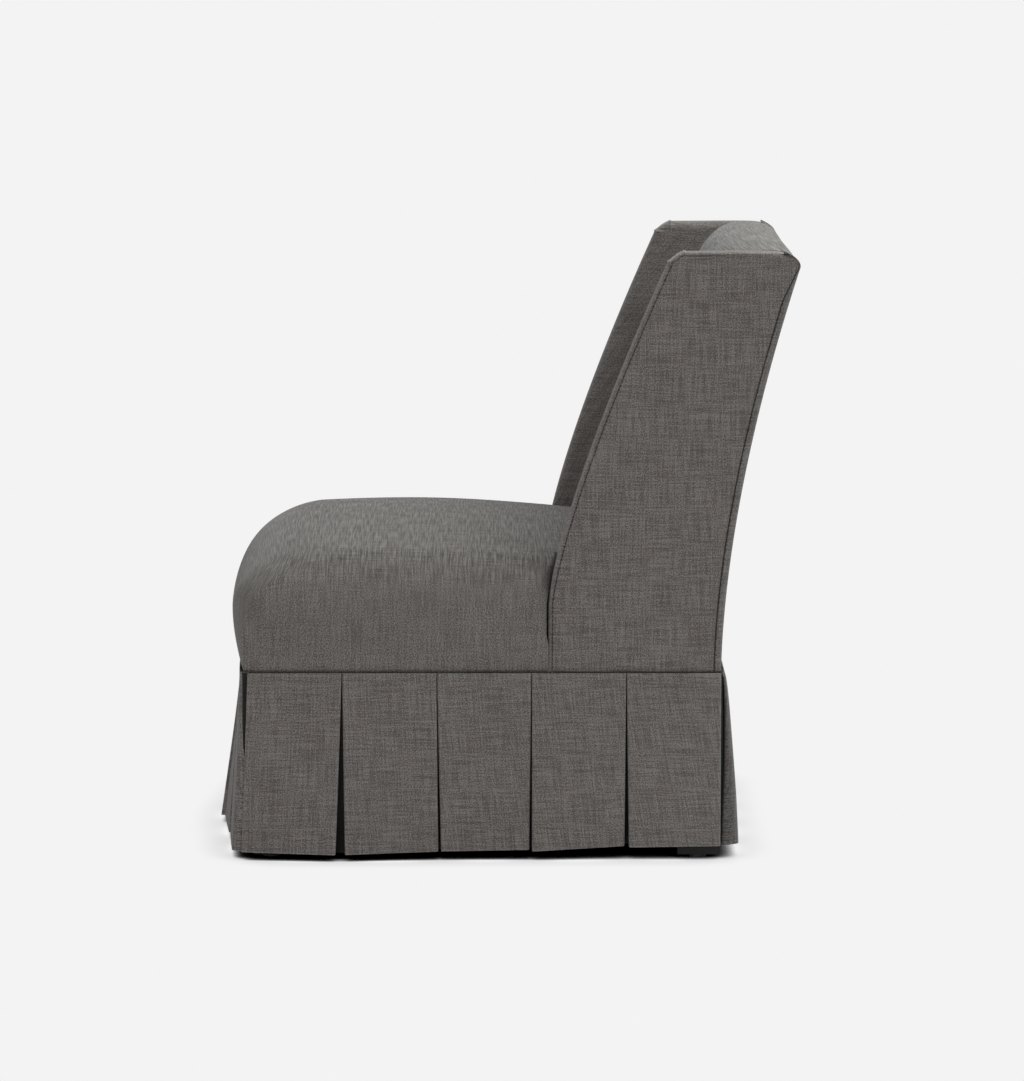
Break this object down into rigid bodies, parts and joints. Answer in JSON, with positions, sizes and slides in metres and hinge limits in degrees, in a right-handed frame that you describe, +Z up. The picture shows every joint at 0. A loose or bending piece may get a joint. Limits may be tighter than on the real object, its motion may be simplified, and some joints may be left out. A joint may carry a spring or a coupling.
{
  "type": "upholstered armless lounge chair",
  "caption": "Armless upholstered lounge chair with a tight crowned seat, low slanted wings on a raked back, and a box pleated skirt down to the floor.",
  "frame": {"origin": "floor level under the middle of the whole chair's box", "axes": "-Y is the way the sitter faces, +X the sitter's left, +Z up"},
  "size_m": [0.7096, 0.8288, 0.881],
  "materials": {
    "linen_cloth": "matte",
    "hardwood": "matte",
    "foam": "matte",
    "hessian": "matte",
    "dust_cloth": "matte",
    "tack_card": "matte",
    "spring_steel": "satin",
    "glide_plastic": "matte"
  },
  "bodies": {
    "root": {"front_rail": "hardwood", "rear_rail": "hardwood", "side_rail_left": "hardwood", "side_rail_right": "hardwood", "front_leg_left": "hardwood", "front_leg_right": "hardwood", "back_post_left": "hardwood", "back_post_right": "hardwood", "corner_blocks": "hardwood", "corner_bolts": "spring_steel", "glides": "glide_plastic", "top_back_rail": "hardwood", "middle_back_rail": "hardwood", "lower_back_rail": "hardwood", "wing_stile_left": "hardwood", "wing_stile_right": "hardwood", "wing_top_board_left": "hardwood", "wing_top_board_right": "hardwood", "seat_springs": "spring_steel", "spring_clips": "spring_steel", "spring_tie_wires": "spring_steel", "seat_hessian": "hessian", "seat_foam": "foam", "seat_cover": "linen_cloth", "back_webbing": "hessian", "back_hessian": "hessian", "back_foam": "foam", "inside_back_cover": "linen_cloth", "wing_pad_left": "foam", "wing_pad_right": "foam", "wing_cover_left": "linen_cloth", "wing_cover_right": "linen_cloth", "wing_outer_panel_left": "linen_cloth", "wing_outer_panel_right": "linen_cloth", "outside_back_cover": "linen_cloth", "dust_cover": "dust_cloth", "skirt_tack_strips": "tack_card", "skirt_front": "linen_cloth", "skirt_back": "linen_cloth", "skirt_left": "linen_cloth", "skirt_right": "linen_cloth", "corner_pleat_front_left": "linen_cloth", "corner_pleat_front_right": "linen_cloth", "corner_pleat_back_left": "linen_cloth", "corner_pleat_back_right": "linen_cloth"}
  },
  "joints": []
}
